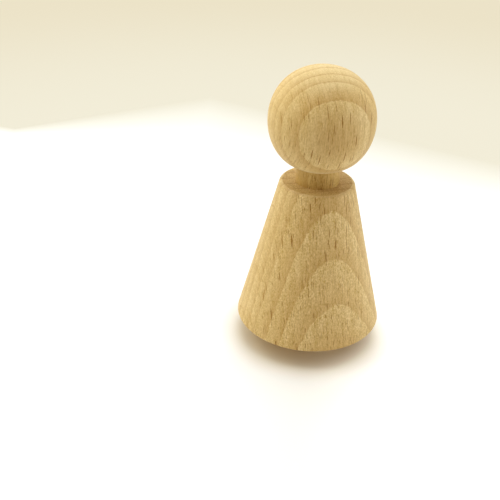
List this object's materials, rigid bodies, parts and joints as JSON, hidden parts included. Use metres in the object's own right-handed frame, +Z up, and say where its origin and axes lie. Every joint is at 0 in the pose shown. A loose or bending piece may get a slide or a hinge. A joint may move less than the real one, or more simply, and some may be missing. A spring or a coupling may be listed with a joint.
{
  "type": "peg doll",
  "caption": "Small turned beech peg doll with a round head on a neck dowel, a tapered body and a plug below the base that seats in a round socket.",
  "frame": {"origin": "middle of the plug's lower end, which is what the doll stands on", "axes": "+Z up along the turning axis towards the head; -Y towards the picture's viewer and +X to the viewer's right"},
  "size_m": [0.03, 0.03, 0.0585],
  "materials": {
    "head_wood": "bare sanded beech, matt",
    "dowel_wood": "bare sanded beech, matt",
    "body_wood": "bare sanded beech, matt",
    "peg_wood": "bare sanded beech with open end grain, matt"
  },
  "bodies": {
    "root": {"head": "head_wood", "neck_dowel": "dowel_wood", "body": "body_wood", "base_peg": "peg_wood"}
  },
  "joints": []
}
